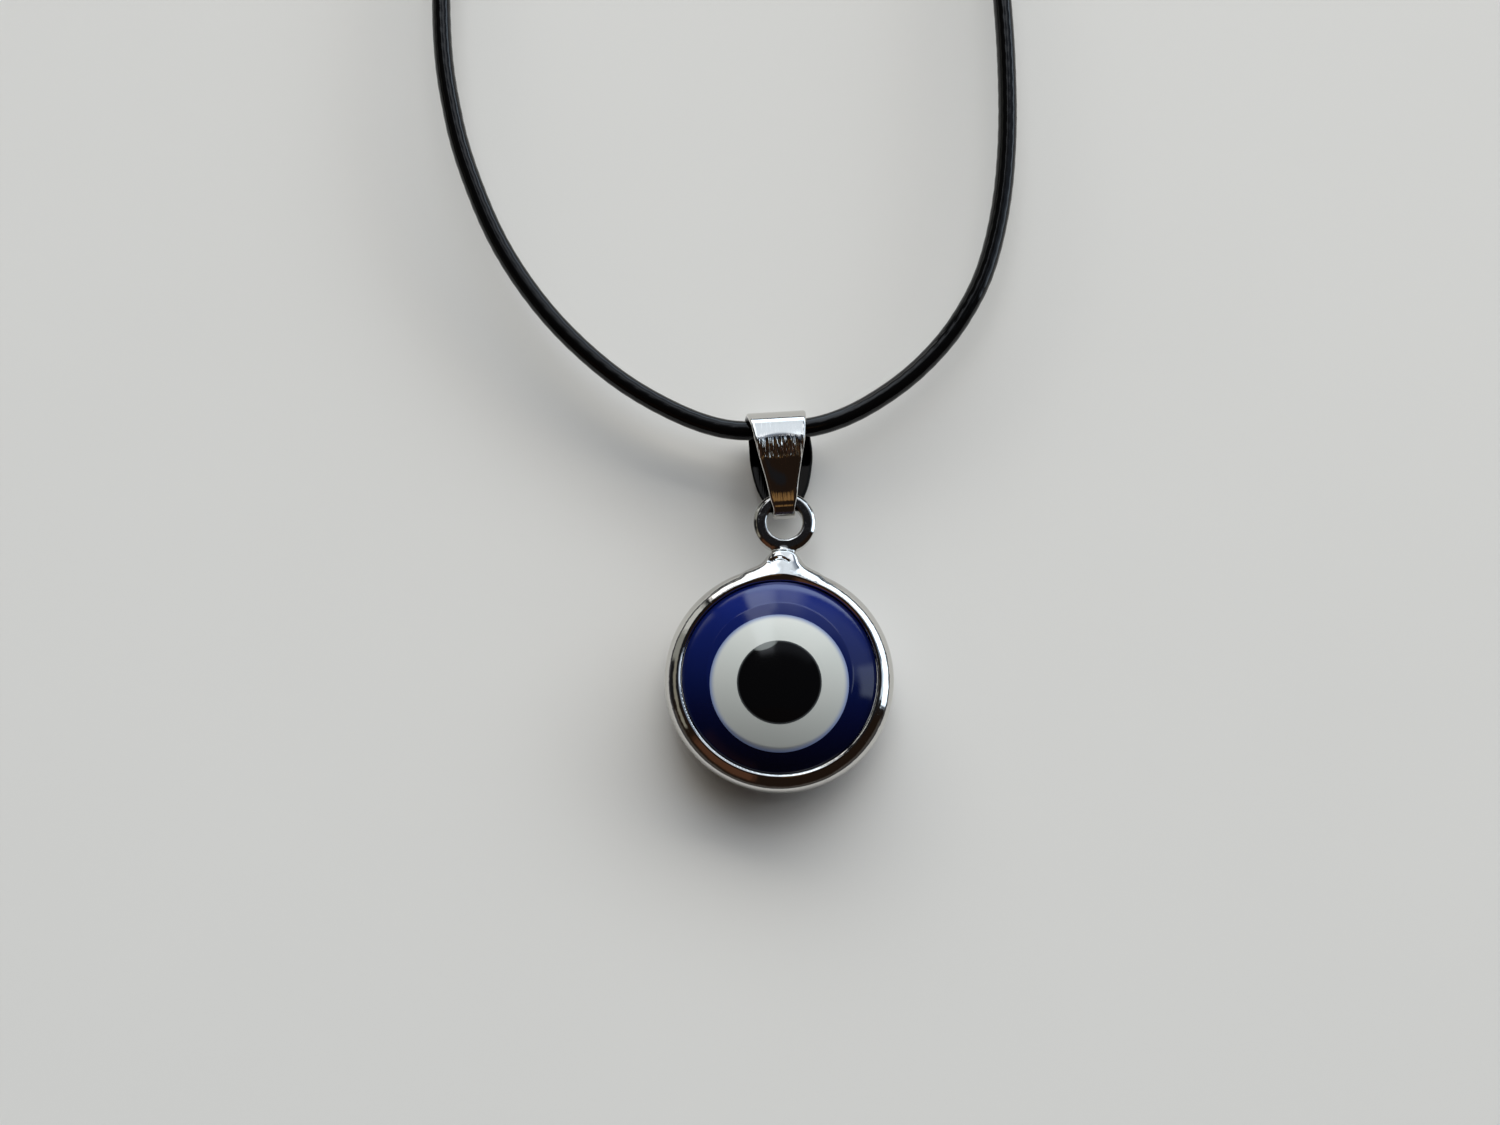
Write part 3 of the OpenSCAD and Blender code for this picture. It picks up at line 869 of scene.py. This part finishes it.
class PENDANT_OT_add_neck_cord(bpy.types.Operator):
    """Add the waxed cord, a round braid along its route, with both ends in the clasp"""

    bl_idname = "pendant.add_neck_cord"
    bl_label = "Add neck cord"

    def execute(self, context):
        look = context.scene.pendant_cord
        spacing = 0.17
        sides = 24
        strands = 4
        line = smoothed(CORD_ROUTE, steps=60)
        lengths = np.concatenate([[0], np.cumsum(np.linalg.norm(np.diff(line, axis=0), axis=1))])
        count = int(lengths[-1] / spacing)
        along = np.linspace(0, lengths[-1], count)
        line = np.stack([np.interp(along, lengths, line[:, axis]) for axis in range(3)], axis=1)
        ahead = np.gradient(line, axis=0)
        ahead /= np.linalg.norm(ahead, axis=1, keepdims=True)
        side = np.cross(ahead, (0, 0, 1))
        side /= np.linalg.norm(side, axis=1, keepdims=True)
        up = np.cross(side, ahead)
        angles = np.arange(sides) * 2 * math.pi / sides

        # The same number of strands wind each way, and they go over and under each other in turn
        wound = strands * angles[None, :] / (2 * math.pi)
        run = along[:, None] / (look.pick / MM)
        left, right = wound + run, wound - run
        body, weave = 0.6, 0.4
        left_over = weave * np.cos(math.pi * (right + np.round(left)))
        right_over = weave * np.cos(math.pi * (left + np.round(right)))
        left_top = body * np.abs(np.cos(math.pi * left)) + left_over
        right_top = body * np.abs(np.cos(math.pi * right)) - right_over
        relief = np.maximum(left_top, right_top)
        radius = look.diameter / MM / 2 - look.relief / MM * (1 - relief)
        points = (
            line[:, None, :]
            + (radius * np.cos(angles))[:, :, None] * side[:, None, :]
            + (radius * np.sin(angles))[:, :, None] * up[:, None, :]
        ).reshape(-1, 3)
        faces = grid_faces(count, sides).tolist()
        faces.append(list(range(sides))[::-1])
        faces.append([(count - 1) * sides + k for k in range(sides)])
        make_piece(
            "neck_cord_braid", points, faces, waxed_braid(look), ["neck_cord"], sharp_deg=60,
        )
        return {"FINISHED"}


class PENDANT_OT_finish_clasp(bpy.types.Operator):
    """Give the barrel clasp its turned and plated finish, with softened edges"""

    bl_idname = "pendant.finish_clasp"
    bl_label = "Finish clasp"

    def execute(self, context):
        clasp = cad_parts["clasp"]
        clasp.data.materials.clear()
        clasp.data.materials.append(turned_plated_brass(context.scene.pendant_metal))
        soft = clasp.modifiers.new("soft edges", "BEVEL")
        soft.width = 0.12 * MM
        soft.segments = 3
        soft.angle_limit = math.radians(25)
        return {"FINISHED"}


class PENDANT_OT_add_setting(bpy.types.Operator):
    """Add the cast frame with its neck and its eye ring"""

    bl_idname = "pendant.add_setting"
    bl_label = "Add setting"

    def execute(self, context):
        rim = hoop_shell(OPENING_R, FRAME_R, FRAME_HALF_T, sides=192)
        neck = [
            box_shell((-half_w, FRAME_R - SIDE_R, -half_t), (half_w, top, half_t))
            for half_w, top, half_t in NECK_BLOCKS
        ]
        ring_points, ring_faces = hoop_shell(RING_HOLE_R, RING_R, RING_HALF_T, sides=96)
        ring = (ring_points + (0, RING_REACH, 0), ring_faces)
        points, faces, normals = one_skin([rim, *neck, ring], setting_distance, SKIN_CELL)
        piece = make_piece(
            "setting_cast", points + (0, FRAME_Y, MID_Z), faces,
            cast_plated_zinc(context.scene.pendant_metal), ["setting"],
        )
        piece.data.normals_split_custom_set_from_vertices(normals.tolist())
        return {"FINISHED"}


class PENDANT_OT_add_bead(bpy.types.Operator):
    """Add the blue bead with the white iris and the black pupil let into its front"""

    bl_idname = "pendant.add_bead"
    bl_label = "Add bead"

    def execute(self, context):
        look = context.scene.pendant_bead
        sides = 256
        gap = 0.004
        ease = 0.12
        step_h = 0.02
        step_w = 0.1
        step_r = look.step_r / MM
        pattern_y = FRAME_Y - PATTERN_DROP
        iris_floor = MID_Z + face_height(IRIS_R + PATTERN_DROP) - IRIS_T
        pupil_floor = MID_Z + face_height(PUPIL_R + PATTERN_DROP) - PUPIL_T

        def front(reach):
            """Height of the blue front, a little higher inside the fine step."""
            return MID_Z + face_height(reach) + step_h * eased((step_r - reach) / step_w + 0.5)

        def raised(reach):
            """Height of the layers, level with the blue inside the step."""
            return MID_Z + face_height(reach) + step_h

        # The blue front widens from the round of the iris to that of the bead, and its middle shifts too
        hole_r = IRIS_R + gap
        flat_r = BEAD_R - ease
        blue = [(pattern_y, 0, iris_floor), (pattern_y, hole_r, iris_floor)]
        blue += [
            (pattern_y + share * PATTERN_DROP, hole_r + share * (flat_r - hole_r), front)
            for share in np.linspace(0, 1, 72)
        ]
        # The edge is eased into the straight side, which runs down to the dome of the back
        lean = math.asin(flat_r / SHOULDER_R)
        edge = face_height(flat_r)
        turn = [
            (BEAD_R - ease * (1 - math.sin(angle)), edge - ease * (math.cos(lean) - math.cos(angle)))
            for angle in np.linspace(lean, math.pi / 2, 7)[1:]
        ]
        blue += [(FRAME_Y, radius, MID_Z + height) for radius, height in turn]
        blue += [(FRAME_Y, radius, MID_Z - height) for radius, height in turn[::-1]]
        blue += [(FRAME_Y, radius, MID_Z - face_height(radius)) for radius in np.linspace(flat_r, 0, 40)]

        iris = [(pattern_y, 0, pupil_floor - gap), (pattern_y, PUPIL_R + gap, pupil_floor - gap)]
        iris += [(pattern_y, radius, raised) for radius in np.linspace(PUPIL_R + gap, IRIS_R, 30)]
        iris += [(pattern_y, IRIS_R, iris_floor + gap), (pattern_y, 0, iris_floor + gap)]

        pupil = [(pattern_y, radius, raised) for radius in np.linspace(0, PUPIL_R, 30)]
        pupil += [(pattern_y, PUPIL_R, pupil_floor), (pattern_y, 0, pupil_floor)]

        for name, rings, resin, slot, node in (
            ("bead_blue", blue, cast_blue_resin, "blue_resin", "eye_bead"),
            ("iris_white", iris, cast_white_resin, "white_resin", "iris"),
            ("pupil_black", pupil, cast_black_resin, "black_resin", "pupil"),
        ):
            points, faces = stacked_rings(rings, sides)
            make_piece(name, points, faces, resin(look), [node], sharp_deg=40)
        return {"FINISHED"}


class PENDANT_OT_add_bail(bpy.types.Operator):
    """Add the bail, a strap folded round the cord and through the eye ring"""

    bl_idname = "pendant.add_bail"
    bl_label = "Add bail"

    def execute(self, context):
        look = context.scene.pendant_bail
        at, spans, middle, outward = strap_path(look.stations)
        # The hollow starts a little up the front leg, ends a little past the ridge, and fades at both ends
        hollow_from, hollow_rise = 0.7, 2.2
        hollow_past, hollow_fall = 1.0, 1.2
        start = eased((at - spans[1] - hollow_from) / hollow_rise)
        end = eased((spans[2] + hollow_past - at) / hollow_fall)
        depth = look.hollow / MM * start * end
        across, out = strap_section(strap_half_width(middle), depth)
        columns = across.shape[1]
        faces = grid_faces(look.stations, columns, closed_rows=True)

        # The back leg is set a little to the right, more so the deeper it lies
        side_shift, shift_below = 0.25, 0.6
        y = middle[:, :1] + outward[:, :1] * out
        z = middle[:, 1:] + outward[:, 1:] * out
        x = across + side_shift * np.maximum(-shift_below - z, 0)
        points = np.stack([x, y, z], axis=2).reshape(-1, 3)
        lean, twist = math.radians(6.6), math.radians(3)
        place = Matrix.Translation((0, FRAME_Y + RING_REACH, MID_Z))
        place = place @ Matrix.Rotation(lean, 4, "Z") @ Matrix.Rotation(twist, 4, "Y")
        points = points @ np.array(place.to_3x3()).T + np.array(place.translation)
        piece = make_piece(
            "bail_strap", points, faces, drawn_plated_brass(context.scene.pendant_metal),
            ["bail"], sharp_deg=50,
        )

        # The map of the strap, which runs on past its end in the row of faces that closes it
        map_across = across / MAP_UNIT + INNER_SHIFT * (out < 0)
        map_along = np.tile(at[:, None] / MAP_UNIT, (1, columns))
        strip = np.stack([map_across, map_along], axis=2).reshape(-1, 2)[faces]
        closing = strip[-columns:, :, 1]
        closing[faces[-columns:] < columns] += spans[-1] / MAP_UNIT
        piece.data.uv_layers.new(name="strip").data.foreach_set("uv", strip.ravel())
        return {"FINISHED"}


class PENDANT_OT_add_stage(bpy.types.Operator):
    """Add the pale floor, two soft lamps and the room that the metal mirrors"""

    bl_idname = "pendant.add_stage"
    bl_label = "Add stage"

    def execute(self, context):
        look = context.scene.pendant_stage
        self.add_floor(look)
        self.add_lamp("daylight", bearing=14, lift=26, away=1.6, size=(4.6, 0.7), power=look.window)
        self.add_lamp("ceiling", bearing=0, lift=65, away=1.3, size=(1.2, 1.2), power=look.ceiling)
        self.add_room(context, look)
        context.scene.view_settings.view_transform = "Standard"
        return {"FINISHED"}

    def add_floor(self, look):
        """A plain floor, larger than anything that the metal mirrors."""
        reach = 3.0
        mesh = bpy.data.meshes.new("floor")
        corners = [(-reach, -reach, 0), (reach, -reach, 0), (reach, reach, 0), (-reach, reach, 0)]
        mesh.from_pydata(corners, [], [(0, 1, 2, 3)])
        mesh.materials.append(matt_card(look))
        floor = into_scene("floor", mesh)

    def add_lamp(self, name, bearing, lift, away, size, power):
        """A broad soft light, metres away, which the pendant mirrors only as a part of the room.

        Its bearing runs from +Y towards +X and its lift from the floor, both in degrees.
        """
        light = bpy.data.lights.new(name, "AREA")
        light.shape = "RECTANGLE"
        light.size, light.size_y = size
        light.energy = power
        light.color = linear("FFFBF3")
        lamp = into_scene(name, light)
        turn = math.radians(bearing)
        level = away * math.cos(math.radians(lift))
        height = away * math.sin(math.radians(lift))
        lamp.location = (level * math.sin(turn), level * math.cos(turn), height)
        lamp.rotation_euler = lamp.location.to_track_quat("Z", "Y").to_euler()
        lamp.visible_glossy = False

    def add_room(self, context, look):
        """The room all round, painted patch by patch on a dark ground."""
        world = bpy.data.worlds.new("room")
        context.scene.world = world
        world.use_nodes = True
        tree = world.node_tree
        tree.nodes.clear()
        place = add_node(tree, "TexCoord").outputs["Generated"]
        away = add_node(tree, "VectorMath", {0: place}, operation="NORMALIZE")
        axes = add_node(tree, "SeparateXYZ", {"Vector": away})
        bearing = add_node(tree, "Math", {0: axes.outputs["X"], 1: axes.outputs["Y"]}, operation="ARCTAN2")
        height = add_node(tree, "Math", {0: axes.outputs["Z"]}, operation="ARCSINE")
        ground = add_node(tree, "RGB")
        ground.outputs["Color"].default_value = rgba(dimmed(*GROUND))
        painted = ground
        for name, turn, half_w, lift, half_h, soft, colour, share in ROOM:
            covers = []
            for value, middle, half in ((bearing, turn, half_w), (height, lift, half_h)):
                off = add_node(tree, "Math", {0: value, 1: math.radians(middle)}, operation="SUBTRACT")
                short = add_node(tree, "Math", {0: off, 1: math.pi, 2: -math.pi}, operation="WRAP")
                size = add_node(tree, "Math", {0: short}, operation="ABSOLUTE")
                cover = add_node(
                    tree, "MapRange",
                    {"Value": size, "From Min": math.radians(half + soft / 2),
                     "From Max": math.radians(half - soft / 2)},
                    interpolation_type="SMOOTHSTEP",
                )
                covers.append(cover)
            both = add_node(tree, "Math", {0: covers[0], 1: covers[1]}, operation="MULTIPLY")
            patch = add_node(
                tree, "Mix",
                {"Factor": both, "A": painted, "B": rgba(dimmed(colour, share))},
                data_type="RGBA", label=name,
            )
            painted = patch
        glow = add_node(tree, "Background", {"Color": painted, "Strength": look.room})
        add_node(tree, "OutputWorld", {"Surface": glow})


class PENDANT_PT_panel(bpy.types.Panel):
    """Panel that lists the pieces and their settings"""

    bl_idname = "PENDANT_PT_panel"
    bl_label = "Evil eye pendant"
    bl_space_type = "VIEW_3D"
    bl_region_type = "UI"
    bl_category = "Pendant"

    def draw(self, context):
        for name in GROUPS:
            column = self.layout.column(align=True)
            group = getattr(context.scene, name)
            for key in group.bl_rna.properties.keys():
                if key not in ("rna_type", "name"):
                    column.prop(group, key)
        for operator in STEPS:
            self.layout.operator(operator.bl_idname)


GROUPS = {
    "pendant_metal": MetalLook,
    "pendant_bead": BeadLook,
    "pendant_cord": CordLook,
    "pendant_bail": BailLook,
    "pendant_stage": StageLook,
}
STEPS = (
    PENDANT_OT_set_camera,
    PENDANT_OT_add_neck_cord,
    PENDANT_OT_finish_clasp,
    PENDANT_OT_add_setting,
    PENDANT_OT_add_bead,
    PENDANT_OT_add_bail,
    PENDANT_OT_add_stage,
)


def register():
    """Register the settings, the operators and the panel."""
    for name, group in GROUPS.items():
        bpy.utils.register_class(group)
        setattr(bpy.types.Scene, name, PointerProperty(type=group))
    for step in STEPS:
        bpy.utils.register_class(step)
    bpy.utils.register_class(PENDANT_PT_panel)


def unregister():
    """Take away the panel, the operators and the settings."""
    bpy.utils.unregister_class(PENDANT_PT_panel)
    for step in reversed(STEPS):
        bpy.utils.unregister_class(step)
    for name, group in reversed(GROUPS.items()):
        delattr(bpy.types.Scene, name)
        bpy.utils.unregister_class(group)


def main():
    """Build every piece in order."""
    register()
    bpy.ops.pendant.set_camera()
    bpy.ops.pendant.add_neck_cord()
    bpy.ops.pendant.finish_clasp()
    bpy.ops.pendant.add_setting()
    bpy.ops.pendant.add_bead()
    bpy.ops.pendant.add_bail()
    bpy.ops.pendant.add_stage()


if __name__ == "__main__":
    main()
